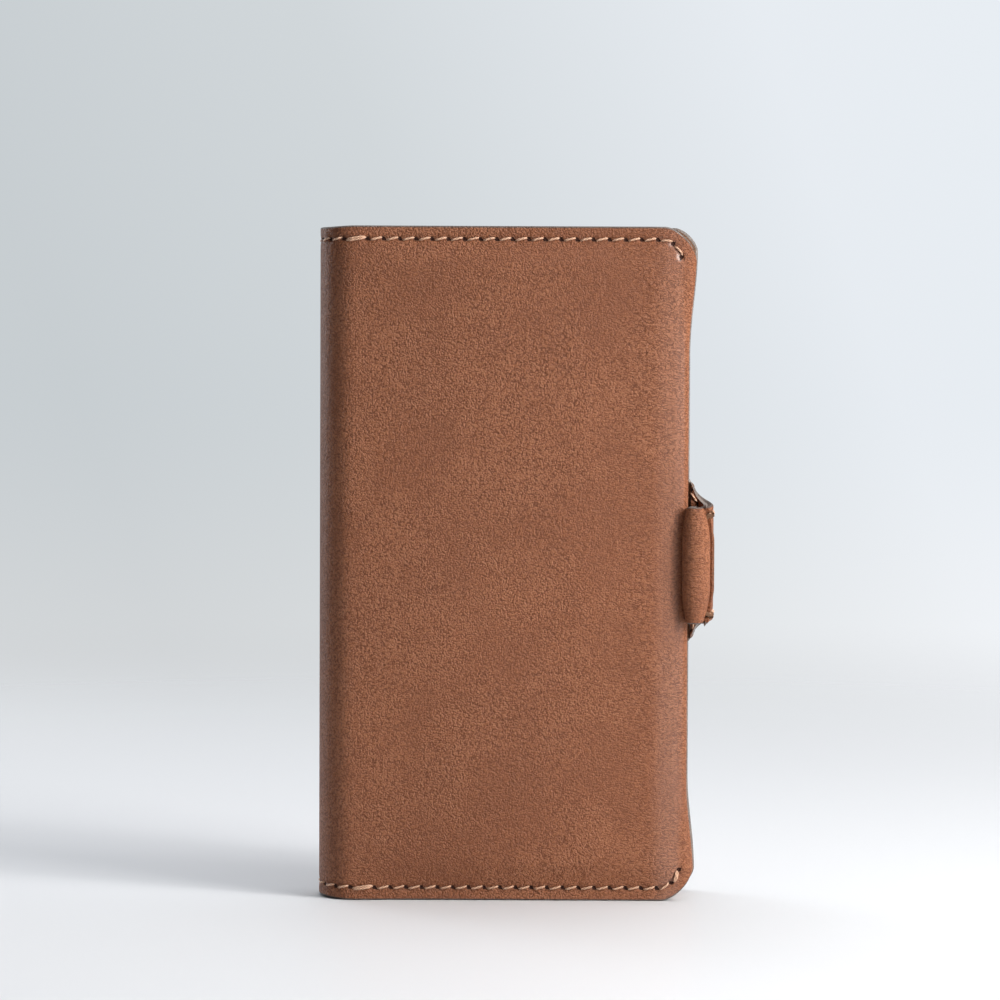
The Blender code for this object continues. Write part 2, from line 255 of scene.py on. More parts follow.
def strap_section(z):
    """Outer face of the strap at height z, seen from above, as evenly numbered points."""
    edge = BACK_EDGE - WAIST
    wide = bar_width(z)
    side = strap_high.x - 1.5 * MM
    right = front_high.x + 2.7 * MM + 1.9 * MM * wide
    near_side = right + 0.7 * MM + 0.9 * MM * (1 - wide)
    left = front_high.x - 1.4 * MM - 1.1 * MM * wide
    centre, half = (right + left) / 2, (right - left) / 2
    bar_deep = 2.0 * MM + 0.8 * MM * wide
    flat = [(edge + (side - BEND - edge) * i / FLAT_POINTS, BACK_Y) for i in range(FLAT_POINTS)]
    bend = arc(side - BEND, BACK_Y - BEND, BEND, 90, 0, BEND_POINTS)
    angles = np.radians(np.linspace(20, -240, BAR_POINTS))
    bar = [(centre + half * math.cos(a), BAR_Y + bar_deep * math.sin(a)) for a in angles]
    knee = (near_side, BAR_Y + 0.9 * MM)
    run = bezier(np.linspace(0, 1, RUN_POINTS + 1)[1:], bend[-1], (side, bend[-1][1] - 6 * MM),
                 (near_side, knee[1] + 4 * MM), knee)
    fold = (bar[0][0] + 0.12 * MM, bar[0][1] + 0.35 * MM)
    turn = bezier(np.linspace(0, 1, TURN_POINTS + 2)[1:-1], knee, (near_side, knee[1] - 0.45 * MM),
                  fold, bar[0])
    hem = [(bar[-1][0] + 0.5 * MM * i, bar[-1][1] + 0.12 * MM * i) for i in range(1, HEM_POINTS + 1)]
    return np.concatenate([flat, bend, run, turn, bar, hem])


BAR_START = FLAT_POINTS + BEND_POINTS + RUN_POINTS + TURN_POINTS
STRAP_POINTS = BAR_START + BAR_POINTS + HEM_POINTS
strap_line = strap_section(STRAP_Z)
sections = {}                              # sections already worked out, by height


def strap_at(number, z):
    """Point on the strap: number counts along the section and may fall between two of its points."""
    key = round(float(z), 6)
    if key not in sections:
        sections[key] = strap_section(z)
    line = sections[key]
    low = int(min(number, STRAP_POINTS - 2))
    place = line[low] + (line[low + 1] - line[low]) * (number - low)
    return place[0], place[1], z


def strap_limit(number):
    """Half the strap's height at a numbered point: the tab flares where it leaves the cover."""
    out = abs(np.interp(number, range(STRAP_POINTS), strap_line[:, 0]) - strap_line[0, 0])
    fade = max(0.0, 1 - (number / FLARE_POINTS) ** 4)
    return STRAP_HALF + FLARE * fade * math.exp(-out / FLARE_LENGTH)


print("strap section:", STRAP_POINTS, "points")


# %% [markdown]
# ## From a formula to leather with thickness
#
# A grid of points becomes a sheet of quads.  Blender's Solidify modifier then gives it the thickness of the
# hide, with its own material for the flesh side and for the cut edge, and Bevel rounds the edge as a burnishing
# stick would.  The modifiers are applied, because a sheet that bends at a joint has to be final.  Each vertex
# also remembers where it was made (`rest_place`), so that the grain stays on the leather when it bends, and
# `stitch_row`: its place along and across the nearest row of stitches, and its distance from the cut edge.

# %% Sheet tools
def lay_quads(points):
    """Vertices and quads of a grid of points."""
    number = np.arange(points.shape[0] * points.shape[1]).reshape(points.shape[:2])
    corners = [number[:-1, :-1], number[1:, :-1], number[1:, 1:], number[:-1, 1:]]
    return points.reshape(-1, 3), np.stack(corners, -1).reshape(-1, 4).tolist()


def mesh_piece(name, points, faces, materials, row=None):
    mesh = bpy.data.meshes.new(name)
    mesh.from_pydata([tuple(p) for p in points], [], [tuple(int(k) for k in f) for f in faces])
    if row is not None:
        layer = mesh.attributes.new("stitch_row", "FLOAT_VECTOR", "POINT")
        layer.data.foreach_set("vector", np.asarray(row, np.float32).ravel())
    piece = bpy.data.objects.new(name, mesh)
    bpy.context.scene.collection.objects.link(piece)
    for material in materials:
        mesh.materials.append(material)
    mesh.shade_smooth()
    return piece


def apply_modifiers(piece):
    """Swap the mesh for what its modifiers make of it."""
    graph = bpy.context.evaluated_depsgraph_get()
    made = bpy.data.meshes.new_from_object(piece.evaluated_get(graph), depsgraph=graph)
    piece.modifiers.clear()
    piece.data = made
    remember_place(piece)
    return piece


def remember_place(piece):
    mesh = piece.data
    layer = mesh.attributes.get("rest_place") or mesh.attributes.new("rest_place", "FLOAT_VECTOR", "POINT")
    places = np.empty(len(mesh.vertices) * 3, np.float32)
    mesh.vertices.foreach_get("co", places)
    layer.data.foreach_set("vector", places)


def thicken(piece, thickness, burnish):
    """Give a sheet its thickness and round its edges by the width of burnish."""
    solid = piece.modifiers.new("thickness", "SOLIDIFY")
    solid.thickness = thickness
    solid.offset = -1
    solid.use_quality_normals = True
    solid.material_offset = 1
    solid.material_offset_rim = 2
    soft = piece.modifiers.new("burnished edge", "BEVEL")
    soft.width = burnish
    soft.segments = 2
    soft.limit_method = "ANGLE"
    soft.angle_limit = math.radians(50)
    soft.material = 2
    apply_modifiers(piece)
    piece.data.shade_smooth()
    return piece


# %% [markdown]
# ## Shader maths in plain expressions
#
# A node tree is easier to read as a formula.  `Socket` wraps one output of a node; adding, multiplying or
# subtracting sockets adds Math nodes behind the scenes.  Colours and vectors never go through Math nodes,
# which would turn them grey, so they have `mix` and the vector tools instead.

# %% Shader tools
class Socket:
    def __init__(self, tree, socket):
        self.tree = tree
        self.socket = socket

    def node(self, kind, settings=None, inputs=None, output=0):
        """Add a node: its settings first, then the values or links of its sockets."""
        made = self.tree.nodes.new(kind)
        for key, value in (settings or {}).items():
            if key == "stops":
                set_stops(made.color_ramp, value)
            else:
                setattr(made, key, value)
        for key, value in (inputs or {}).items():
            if isinstance(value, Socket):
                self.tree.links.new(value.socket, made.inputs[key])
            else:
                made.inputs[key].default_value = value
        return Socket(self.tree, made.outputs[output])

    def maths(self, operation, *values):
        return self.node("ShaderNodeMath", {"operation": operation}, dict(enumerate(values)))

    def __add__(self, other):
        return self.maths("ADD", self, other)

    def __mul__(self, other):
        return self.maths("MULTIPLY", self, other)

    def __sub__(self, other):
        return self.maths("SUBTRACT", self, other)

    def __rsub__(self, other):
        return self.maths("SUBTRACT", other, self)

    __radd__ = __add__
    __rmul__ = __mul__

    def abs(self):
        return self.maths("ABSOLUTE", self)

    def fraction(self):
        return self.maths("FRACT", self)

    def sine(self):
        return self.maths("SINE", self)

    def clip(self):
        return self.node("ShaderNodeClamp", None, {"Value": self})

    def step(self, low, high):
        """0 below low, 1 above high, with a soft step between."""
        return self.node("ShaderNodeMapRange", {"interpolation_type": "SMOOTHSTEP"},
                         {"Value": self, "From Min": low, "From Max": high})

    def stretch(self, x, y, z):
        return self.node("ShaderNodeVectorMath", {"operation": "MULTIPLY"}, {0: self, 1: (x, y, z)})

    def noise(self, scale, detail=3, roughness=0.55):
        return self.node("ShaderNodeTexNoise", None,
                         {"Vector": self, "Scale": scale, "Detail": detail, "Roughness": roughness})

    def cells(self, scale):
        """Distance from the nearest of many scattered points."""
        return self.node("ShaderNodeTexVoronoi", None, {"Vector": self, "Scale": scale})

    def parts(self):
        return [self.node("ShaderNodeSeparateXYZ", None, {"Vector": self}, axis) for axis in range(3)]


def set_stops(ramp, stops):
    while len(ramp.elements) < len(stops):
        ramp.elements.new(1)
    for element, (place, colour) in zip(ramp.elements, stops):
        element.position = place
        element.color = (*colour, 1)


def mix(share, one, two):
    """Colour one where share is 0, colour two where it is 1."""
    colours = {key: value if isinstance(value, Socket) else (*value, 1)
               for key, value in ((6, one), (7, two))}
    return share.node("ShaderNodeMix", {"data_type": "RGBA", "clamp_factor": True},
                      {0: share, **colours}, 2)


class Finish:
    """A material under construction: its tree, its shader and where the leather was made."""

    def __init__(self, name, roughness=0.6, place="rest_place", **fixed):
        self.material = bpy.data.materials.new(name)
        self.material.use_nodes = True
        self.tree = self.material.node_tree
        self.shader = self.tree.nodes["Principled BSDF"]
        self.shader.inputs["Roughness"].default_value = roughness
        for key, value in fixed.items():
            self.shader.inputs[key.replace("_", " ")].default_value = value
        start = Socket(self.tree, None)
        if place:
            self.place = start.node("ShaderNodeAttribute", {"attribute_name": place}, None, 1)
        else:
            self.place = start.node("ShaderNodeTexCoord", None, None, 3)

    def attribute(self, name):
        return self.place.node("ShaderNodeAttribute", {"attribute_name": name}, None, 1)

    def feed(self, socket, value):
        self.tree.links.new(value.socket, self.shader.inputs[socket])

    def relief(self, *layers):
        """Bumps laid over each other: pairs of a height socket and its depth in metres."""
        below = {}
        for height, depth in layers:
            bump = height.node("ShaderNodeBump", None, {"Height": height, "Strength": 1.0,
                                                        "Distance": depth, **below})
            below = {"Normal": bump}
        self.feed("Normal", bump)


# %% [markdown]
# ## Brown leather
#
# The grain of a calf hide is a net of fine furrows round pebbles of half a millimetre.  It is not the same
# everywhere: some places are nearly smooth, and where the hide is rolled round the fore-edge the furrows lie
# across the roll as short creases.  Domed cells and a folded noise (`furrows`) are mixed by slow noises to get
# that.  The awl holes are drawn from the stitch coordinates: a slanted diamond at every hole, with painted
# shade darkening its inside, and a painted soft shadow along each row.

# %% Brown leather
HOLE_LONG, HOLE_WIDE = 0.95, 0.55          # half sizes of an awl hole, in millimetres
RUBBED = 0.55 * MM                         # width of the band that burnishing has rounded and greyed


def awl_holes(finish):
    """1 inside the slanted holes, a painted soft shadow along the row, and the rubbed band at the cut edge."""
    index, across, edge = finish.attribute("stitch_row").parts()
    a = ((index + 0.5).fraction() - 0.5) * (PITCH / MM)
    b = across * (1 / MM)
    long, wide = a * 0.87 - b * 0.5, a * 0.5 + b * 0.87
    rim = long.abs() * (1 / HOLE_LONG) + wide.abs() * (1 / HOLE_WIDE)
    rubbed = 1 - edge.step(0.3 * MM, RUBBED)
    return 1 - rim.step(0.75, 1.15), 1 - b.abs().step(0.1, 1.1), rubbed


def furrows(place, scale):
    """Thin winding valleys: the places where a noise crosses its middle value."""
    return (place.noise(scale, 1.5, 0.4) - 0.5).abs().step(0.0, 0.11)


def grain(place, fineness=1.0, creases=None):
    """Height of the hide's grain, from 0 in the furrows to 1 on the pebbles, and where it is loose."""
    loose = place.noise(45, 2).step(0.36, 0.62)
    domes = 1 - place.cells(1900 * fineness)
    round_net = domes * 0.7 + furrows(place, 1250 * fineness) * 0.55
    if creases:
        across = place.stretch(0.62, 0.8, 1.35)
        long_net = (1 - across.cells(1700)) * 0.6 + furrows(across, 1250) * 0.62
        round_net = round_net * (1 - creases) + long_net * creases
    pores = place.noise(3000, 2, 0.8)
    return round_net * (0.66 + loose * 0.25) + (pores - 0.5) * 0.9 + 0.16, loose


def brown_leather():
    finish = Finish("brown_leather", 0.5, Specular_IOR_Level=0.36, Coat_Roughness=0.3, Coat_IOR=1.5)
    place = finish.place
    x, _, _ = place.parts()
    creases = x.step(SOFT_X, CORNER_X - 12 * MM) * 0.8
    height, loose = grain(place, creases=creases)
    hole, dip, rubbed = awl_holes(finish)
    clouds = place.noise(30, 3, 0.6).step(0.3, 0.72)
    mottle = place.noise(1700, 2, 0.6).step(0.34, 0.68)
    colour = mix(clouds, (0.235, 0.077, 0.029), (0.275, 0.093, 0.036))
    colour = mix(mottle * (0.35 + loose * 0.15), colour, (0.37, 0.140, 0.062))
    colour = mix(height.step(0.75, 1.15) * 0.4, colour, (0.40, 0.165, 0.080))
    dark = 1 - height.step(0.35, 0.85)
    colour = mix(dark * (0.6 + loose * 0.2), colour, (0.125, 0.033, 0.010))
    # painted shade: a soft shadow is painted along each row of stitches, darkening the leather in its groove
    colour = mix(dip * 0.3, colour, (0.15, 0.055, 0.026))
    colour = mix(rubbed * 0.92, colour, (0.10, 0.075, 0.062))
    # painted shade: the inside of each awl hole is painted near black, standing in for the shade in the hole
    colour = mix(hole, colour, (0.035, 0.009, 0.004))
    finish.feed("Base Color", colour)
    finish.feed("Roughness", 0.57 - height * 0.16 + loose * 0.05 + hole * 0.4 - rubbed * 0.12)
    polished = x.step(CORNER_X - 12 * MM, CORNER_X - 7 * MM)
    dull = x.step(CORNER_X - 5 * MM, CORNER_X - 2.5 * MM)
    finish.feed("Coat Weight", polished * (1 - dull) * (1 - hole))
    finish.relief((place.noise(170, 2), 0.0003), (height, 0.00028), (1 - hole, 0.0006))
    return finish.material


def flesh_side():
    """The hide's inner face: short nap, without grain."""
    finish = Finish("flesh_side", 0.9, Specular_IOR_Level=0.2)
    nap = finish.place.stretch(1, 1, 1.6).noise(1500, 4, 0.7)
    patches = finish.place.noise(60, 3)
    finish.feed("Base Color", mix(nap * 0.6 + patches * 0.4, (0.13, 0.062, 0.034), (0.25, 0.135, 0.08)))
    finish.relief((nap, 0.0002))
    return finish.material


def cut_edge():
    """Dyed, waxed and rubbed edge: dark, with a slight gloss that turns pale grey where it faces up."""
    finish = Finish("cut_edge", 0.48, Specular_IOR_Level=0.5, Coat_Weight=0.12, Coat_Roughness=0.3)
    fibres = finish.place.noise(2200, 3, 0.65)
    patches = finish.place.noise(240, 3).step(0.35, 0.7)
    dark = mix(patches, (0.075, 0.052, 0.042), (0.16, 0.125, 0.105))
    finish.feed("Base Color", mix(fibres.step(0.35, 0.7) * 0.6, dark, (0.25, 0.21, 0.19)))
    finish.relief((fibres, 0.00012))
    return finish.material


def lining_leather():
    """Thinner leather of the same dye for the linings and pockets, with a much finer grain."""
    finish = Finish("lining_leather", 0.6, Specular_IOR_Level=0.35)
    height, _ = grain(finish.place, 1.5)
    hole, dip, rubbed = awl_holes(finish)
    clouds = finish.place.noise(50, 3).step(0.3, 0.7)
    colour = mix(clouds, (0.27, 0.115, 0.057), (0.33, 0.145, 0.076))
    colour = mix((1 - height.step(0.35, 0.8)) * 0.35, colour, (0.16, 0.062, 0.03))
    # painted shade: a soft shadow is painted along each row of stitches, darkening the lining in its groove
    colour = mix(dip * 0.2, colour, (0.16, 0.062, 0.03))
    colour = mix(rubbed * 0.9, colour, (0.11, 0.08, 0.065))
    # painted shade: the awl holes are painted near black, standing in for the shade inside them
    finish.feed("Base Color", mix(hole, colour, (0.03, 0.012, 0.008)))
    finish.feed("Roughness", 0.68 - height * 0.12 + hole * 0.2)
    finish.relief((height, 0.00012), (1 - hole, 0.0005))
    return finish.material


def waxed_thread():
    """Three-ply linen: the plies show as slanted ridges along each stitch."""
    finish = Finish("waxed_thread", 0.45, Specular_IOR_Level=0.5)
    along, around, _ = finish.attribute("thread_coordinate").parts()
    ply = (along * 5200 + around * 3).sine() * 0.5 + 0.5
    fuzz = finish.place.noise(4200, 2)
    # painted shade and highlight: the colour goes from dark in the grooves between the plies to pale on their
    # ridges; the fine fuzz noise adds the thread's own uneven tone
    finish.feed("Base Color", mix(ply * 0.6 + fuzz * 0.4, (0.42, 0.19, 0.10), (0.92, 0.60, 0.41)))
    finish.relief((ply, 0.00012))
    return finish.material


LEATHER = brown_leather()
FLESH = flesh_side()
EDGE = cut_edge()
LINING = lining_leather()
THREAD = waxed_thread()
print("finishes:", ", ".join(m.name for m in (LEATHER, FLESH, EDGE, LINING, THREAD)))


# %% [markdown]
# ## Rows of stitches
#
# Saddle stitching goes in and out through the same slanted holes, so on each face there is one short slanted
# stitch per pitch, with the awl hole open at its end.  A row is a route on a sheet: flat coordinates for the
# leather round it, and places and normals in space for the thread.  Near the spine one stitch is longer than
# the others and doubled, where the thread was started and locked.

# %% Rows of stitches
THREAD_RADIUS = 0.27 * MM
FAR = 100 * MM                             # marks leather that no row of stitches is near
LONG_STITCH = 1.55                         # length of the starting stitch, in pitches
STITCH_START, STITCH_END = 0.62 * MM, 0.3 * MM      # gaps to the hole behind and the hole ahead
STITCH_LIFT, STITCH_DIVE = 0.1 * MM, 0.5 * MM       # height of its middle, depth of its ends
DOUBLED_GAP, DOUBLED_RISE = 0.24 * MM, 0.06 * MM


class Row:
    """A route on a sheet, from flat points; surface(u, z) gives the place in space."""

    def __init__(self, flat, surface, outward, long_stitch_at=None):
        legs = np.linalg.norm(np.diff(flat, axis=0), axis=1)
        reach = np.concatenate([[0], np.cumsum(legs)])
        at = np.linspace(0, reach[-1], int(reach[-1] / (0.15 * MM)))
        self.flat = np.stack([np.interp(at, reach, np.array(flat)[:, k]) for k in (0, 1)], -1)
        u, z = self.flat.T
        tiny = 0.02 * MM
        self.points = surface(u, z)
        across = surface(u + tiny, z) - surface(u - tiny, z)
        upward = surface(u, z + tiny) - surface(u, z - tiny)
        normal = np.cross(across, upward) * outward
        self.normals = normal / np.linalg.norm(normal, axis=1)[:, None]
        self.side = outward
        steps = np.linalg.norm(np.diff(self.points, axis=0), axis=1)
        self.lengths = np.concatenate([[0], np.cumsum(steps)])
        heading = np.gradient(self.flat, axis=0)
        self.heading = heading / np.linalg.norm(heading, axis=1)[:, None]
        self.punch(long_stitch_at)

    def punch(self, long_stitch_at):
        """Lengths along the row at which there is a hole."""
        end = self.lengths[-1]
        start = long_stitch_at or 0
        self.holes = np.linspace(start, end, round((end - start) / PITCH) + 1)
        self.doubled = []
        if long_stitch_at:
            before = np.arange(start - LONG_STITCH * PITCH, 0, -PITCH)[::-1]
            self.holes = np.concatenate([before, self.holes])
            self.doubled = [len(before) - 1, len(self.holes) - 2 if self.flat[-1, 1] < HEIGHT / 2 else 0]

    def coordinates(self, u, z):
        """Holes passed, distance across the row, and FAR, for every point of a sheet's grid."""
        out = np.tile(np.array([0.0, FAR, FAR]), (u.size, 1))
        flat = np.stack([u.ravel(), z.ravel()], -1)
        low, high = self.flat.min(0) - 5 * MM, self.flat.max(0) + 5 * MM
        near = np.where(((flat > low) & (flat < high)).all(1))[0]
        for some in np.array_split(near, max(1, len(near) // 4000)):
            gaps = flat[some, None, :] - self.flat[None, :, :]
            best = (gaps ** 2).sum(2).argmin(1)
            gap = gaps[np.arange(len(some)), best]
            way = self.heading[best]
            along = self.lengths[best] + (gap * way).sum(1)
            inside = (along > -1.2 * MM) & (along < self.lengths[-1] + 1.2 * MM)
            number = np.interp(along, self.holes, np.arange(len(self.holes)))
            number += np.clip(along - self.holes[-1], 0, None) / PITCH
            number += np.clip(along - self.holes[0], None, 0) / PITCH
            out[some, 0] = number
            out[some, 1] = np.where(inside, gap[:, 1] * way[:, 0] - gap[:, 0] * way[:, 1], FAR)
        return out

    def at(self, length):
        """Place, outward normal, heading and sideways direction at a length along the row."""
        def look(table, where):
            return np.array([np.interp(where, self.lengths, table[:, k]) for k in range(3)])

        normal = look(self.normals, length)
        heading = look(self.points, length + 0.2 * MM) - look(self.points, length - 0.2 * MM)
        heading /= max(np.linalg.norm(heading), 1e-9)
        return look(self.points, length), normal, np.cross(normal, heading)


def nearest_row(rows, u, z):
    """Coordinates for whichever row is nearest."""
    found = [row.coordinates(u, z) for row in rows]
    best = found[0]
    for other in found[1:]:
        nearer = np.abs(other[:, 1]) < np.abs(best[:, 1])
        best = np.where(nearer[:, None], other, best)
    return best


def groove(mark, depth=0.2 * MM):
    """How deep the thread and the awl have pressed the leather down at each point."""
    beside = (np.mod(mark[:, 0] + 0.5, 1) - 0.5) * PITCH
    hole = np.exp(-(beside ** 2 + mark[:, 1] ** 2) / (0.6 * MM) ** 2)
    return depth * np.exp(-(mark[:, 1] / (0.8 * MM)) ** 2) + 0.35 * MM * hole


# %% One stitch, and a row of them
RINGS, SIDES = 11, 8


def stitch(row, start, end, slant, lift, shift):
    """Rings of one stitch between two places along a row, which leans by slant and stands up by lift."""
    rings = []
    for share in np.linspace(0, 1, RINGS):
        point, normal, side = row.at(start + (end - start) * share)
        arch = min(1.0, 4.2 * min(share, 1 - share)) ** 0.7
        height = -STITCH_DIVE + (STITCH_DIVE + lift) * arch
        centre = point + normal * height + side * (slant * (share - 0.5) + shift * arch)
        size = THREAD_RADIUS * (0.66 + 0.34 * arch)
        turns = np.linspace(0, 2 * math.pi, SIDES, endpoint=False)
        ring = [centre + side * size * math.cos(t) + normal * size * 0.85 * math.sin(t) for t in turns]
        rings.append((start + (end - start) * share, ring))
    return rings


def sew(name, row, first=0, last=None, slant=0.75 * MM):
    """The thread of a row as one piece: a stitch from each hole to the next."""
    last = len(row.holes) - 1 if last is None else last
    strands = [(k, 0.0, 0.0) for k in range(first, last) if k not in row.doubled[:1]]
    strands += [(k, shift, DOUBLED_RISE) for k in row.doubled if first <= k < last and k
                for shift in (-DOUBLED_GAP, DOUBLED_GAP)]
    points, faces, marks = [], [], []
    for k, shift, rise in strands:
        rings = stitch(row, row.holes[k] + STITCH_START, row.holes[k + 1] - STITCH_END,
                       slant * row.side, STITCH_LIFT + rise, shift)
        base = len(points)
        for along, ring in rings:
            points += ring
            marks += [(along, j * 2 * math.pi / SIDES, 0) for j in range(SIDES)]
        for i in range(RINGS - 1):
            for j in range(SIDES):
                a, b = base + i * SIDES + j, base + i * SIDES + (j + 1) % SIDES
                faces.append((a, a + SIDES, b + SIDES, b))
        faces.append([base + j for j in range(SIDES)])
        faces.append([base + (RINGS - 1) * SIDES + j for j in reversed(range(SIDES))])
    piece = mesh_piece(name, points, faces, [THREAD])
    layer = piece.data.attributes.new("thread_coordinate", "FLOAT_VECTOR", "POINT")
    layer.data.foreach_set("vector", np.array(marks, np.float32).ravel())
    tool = bmesh.new()
    tool.from_mesh(piece.data)
    bmesh.ops.recalc_face_normals(tool, faces=tool.faces)
    tool.to_mesh(piece.data)
    tool.free()
    remember_place(piece)
    print(f"{name}: {len(strands)} strands")
    return piece


# %% [markdown]
# ## Where the stitches run
#
# On the front the rows follow the top and bottom edges from the spine and turn round the corner for two
# stitches.  On the back they go on down the fore-edge to the tab, and the strap has its own two rows.

# %% Stitch routes
SPINE_MARGIN = MARGIN + 0.4 * MM
STRAP_MARGIN = 2.2 * MM
SPINE_ROUTE = [(-QUARTER, SPINE_MARGIN), (0, MARGIN)]


def corner_turn(*handles):
    """The row's climb beside the fore-edge; its last handles are millimetres inward and up from the corner."""
    return bezier(np.linspace(0, 1, 12), (CORNER_X - 9.5 * MM, MARGIN), (CORNER_X - 6.5 * MM, MARGIN),
                  *((CORNER_X - x * MM, z * MM) for x, z in handles))


def route_front(*handles):
    """Bottom row of the front: along the margin, and round the corner for two stitches."""
    u_side = np.linspace(0, FACE_END + ROLL_U, 400)
    x_side = front_section(u_side)[0]
    return SPINE_ROUTE + [(np.interp(x, x_side, u_side), z) for x, z in corner_turn(*handles)]


def route_back():
    """Bottom row of the back: on round the corner and up the fore-edge to the tab."""
    edge = BACK_EDGE - SPINE_X
    top = STRAP_Z - STRAP_HALF - FLARE
    into_tab = [(edge - MARGIN, top - 2 * MM), (edge - 2.2 * MM, top + 2.5 * MM),
                (edge - 0.4 * MM, top + 5.6 * MM)]
    return SPINE_ROUTE + arc(edge - CORNER, CORNER, CORNER - MARGIN, -90, 0, 12) + into_tab


def route_flap():
    """The same bottom row where it comes out on the inside of the folded-in flap."""
    start = FACE_END + ROLL_U + TURN_U
    reach = CORNER_X - TURN_BACK
    turn = corner_turn((4.6, 5.0), (4.0, 7.6))
    return [(start + reach - x, z) for x, z in [(SPINE_X + 2.4 * MM, MARGIN)] + [tuple(p) for p in turn]]


def upside_down(route):
    return [(u, HEIGHT - z) for u, z in route]


def two_rows(route, surface, outward):
    """The row near the bottom edge, and its mirror image near the top edge."""
    return [Row(route, surface, outward), Row(upside_down(route), surface, outward)]


def strap_surface(number, z):
    pairs = np.broadcast_arrays(number, z)
    flat = [strap_at(n, h) for n, h in zip(pairs[0].ravel(), pairs[1].ravel())]
    return np.array(flat).reshape(*pairs[0].shape, 3)


STRAP_LENGTHS = np.concatenate([[0], np.cumsum(np.linalg.norm(np.diff(strap_line, axis=0), axis=1))])


def strap_sheet(u, z):
    """The strap as a sheet like the covers: here u is the length along it."""
    return strap_surface(np.interp(u, STRAP_LENGTHS, range(STRAP_POINTS)), z)


def strap_row(side):
    """Row near one edge of the strap, which stops short of the turn into the bar."""
    route = [(STRAP_LENGTHS[number], STRAP_Z + side * (strap_limit(number) - STRAP_MARGIN))
             for number in range(BAR_START - 6)]
    return Row(route, strap_sheet, -1)


front_rows = [Row(route_front((4.6, 5.0), (3.6, 7.9)), front_surface, 1, QUARTER + 4.9 * MM),
              Row(upside_down(route_front((4.6, 4.9), (3.9, 7.5))), front_surface, 1, QUARTER + 2.7 * MM)]
flap_rows = two_rows(route_flap(), front_surface, 1)
back_rows = two_rows(route_back(), back_surface, -1)
strap_rows = [strap_row(-1), strap_row(1)]
print("holes in each row:", [len(row.holes) for row in front_rows + back_rows + strap_rows])


# %% [markdown]
# ## The outer leather
#
# Three pieces cover the outside, cut where no one looks for a seam: along the very back of the spine and along
# the crease of the back cover.  Each lies across one joint.  Their grids are fine at the sewn margins, where
# the leather is pressed and grooved, and coarser in between.

# %% Front leather
def height_steps(z):
    """Small steps at the cut edges, in the sewn margins and beside the tab."""
    from_edge = min(z, HEIGHT - z)
    if from_edge < 0.5 * MM or abs(abs(z - STRAP_Z) - STRAP_HALF - FLARE) < 0.5 * MM:
        return 0.14 * MM
    if from_edge < 9 * MM:
        return 0.4 * MM
    return 0.55 * MM if abs(z - STRAP_Z) < STRAP_HALF + 9 * MM else 1.1 * MM


lower_half = spread(0, HEIGHT / 2, height_steps)
HEIGHTS = np.concatenate([lower_half[:-1], HEIGHT - lower_half[::-1]])


def outward_normals(points, side):
    across = np.gradient(points, axis=0)
    upward = np.gradient(points, axis=1)
    normal = np.cross(across, upward) * side
    return normal / (np.linalg.norm(normal, axis=2)[..., None] + 1e-12)


def rubbed_edge(from_edge, radius=RUBBED):
    """How far a rubbed edge has sunk at a distance from the cut: a quarter circle."""
    inside = np.clip(radius - from_edge, 0, radius)
    return radius - np.sqrt(np.clip(radius ** 2 - inside ** 2, 0, None))


def pressed(points, mark, side, depth=0.2 * MM, from_edge=FAR):
    """The points, sunk below the sheet by its stitches and by the rubbing of its edge."""
    sink = groove(mark, depth).reshape(points.shape[:2]) + rubbed_edge(from_edge)
    return points - outward_normals(points, side) * sink[..., None]


def cut_grid(columns, heights, lift):
    """Flat places of a sheet; lift says how much each column is shorter at both ends."""
    z = lift[:, None] + heights[None, :] * (1 - 2 * lift[:, None] / HEIGHT)
    return np.repeat(columns[:, None], len(heights), 1), z


def sheet_grid(columns, lift, surface, rows, side, end=None):
    """Places and marks of a cover's sheet; end is where its fore-edge is cut."""
    u, z = cut_grid(columns, HEIGHTS, lift)
    points = surface(u, z)
    mark = nearest_row(rows, u, z)
    slope = np.hypot(1, np.gradient(lift, columns))[:, None]
    from_edge = np.minimum(z - lift[:, None], HEIGHT - lift[:, None] - z) / slope
    if end is not None:
        away_from_tab = np.clip(np.abs(z - STRAP_Z) - STRAP_HALF - FLARE, 0, None)
        from_edge = np.minimum(from_edge, np.where(away_from_tab > 0, end - u, FAR))
    mark[:, 2] = from_edge.ravel()
    return pressed(points, mark, side, from_edge=from_edge), mark


def hide(name, points, mark, leather=LEATHER, thickness=SHELL, burnish=BURNISH, turned=False):
    """A piece of leather from a grid of points; turned makes it face the other way."""
    if turned:
        points, mark = points[::-1], mark.reshape(*points.shape)[::-1].reshape(-1, 3)
    vertices, quads = lay_quads(points)
    return thicken(mesh_piece(name, vertices, quads, [leather, FLESH, EDGE], mark), thickness, burnish)


def across_joint(piece, a, b, start, end, *nodes):
    """The piece's place is baked into its mesh, and it stands for these nodes of the frame, which are hidden;
    the bodies a and b and the places start and end are not used.
    """
    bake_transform(piece)
    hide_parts(*nodes)


SEAM = (SPINE_X - RADIUS, MIDDLE_Y, HEIGHT / 2)
FRONT_CREASE = (SPINE_X, FRONT_Y, HEIGHT / 2)
BACK_CREASE = (SPINE_X, BACK_Y, HEIGHT / 2)


def front_leather():
    flap = FACE_END + ROLL_U + TURN_U
    columns = stretches((-QUARTER, 0.5 * MM), (0, 0.6 * MM), (FACE_END, 0.35 * MM), (flap, 1.5 * MM),
                        (flap + FLAP_U,))
    x_of = front_section(columns)[0]
    lift = np.where(columns < 0, spine_lift(x_of), corner_lift(x_of))
    points, mark = sheet_grid(columns, lift, front_surface, front_rows + flap_rows, 1)
    piece = hide("front_leather", points, mark)
    across_joint(piece, "spine", "front_panel", SEAM, FRONT_CREASE, "front_cover_leather")
    return piece


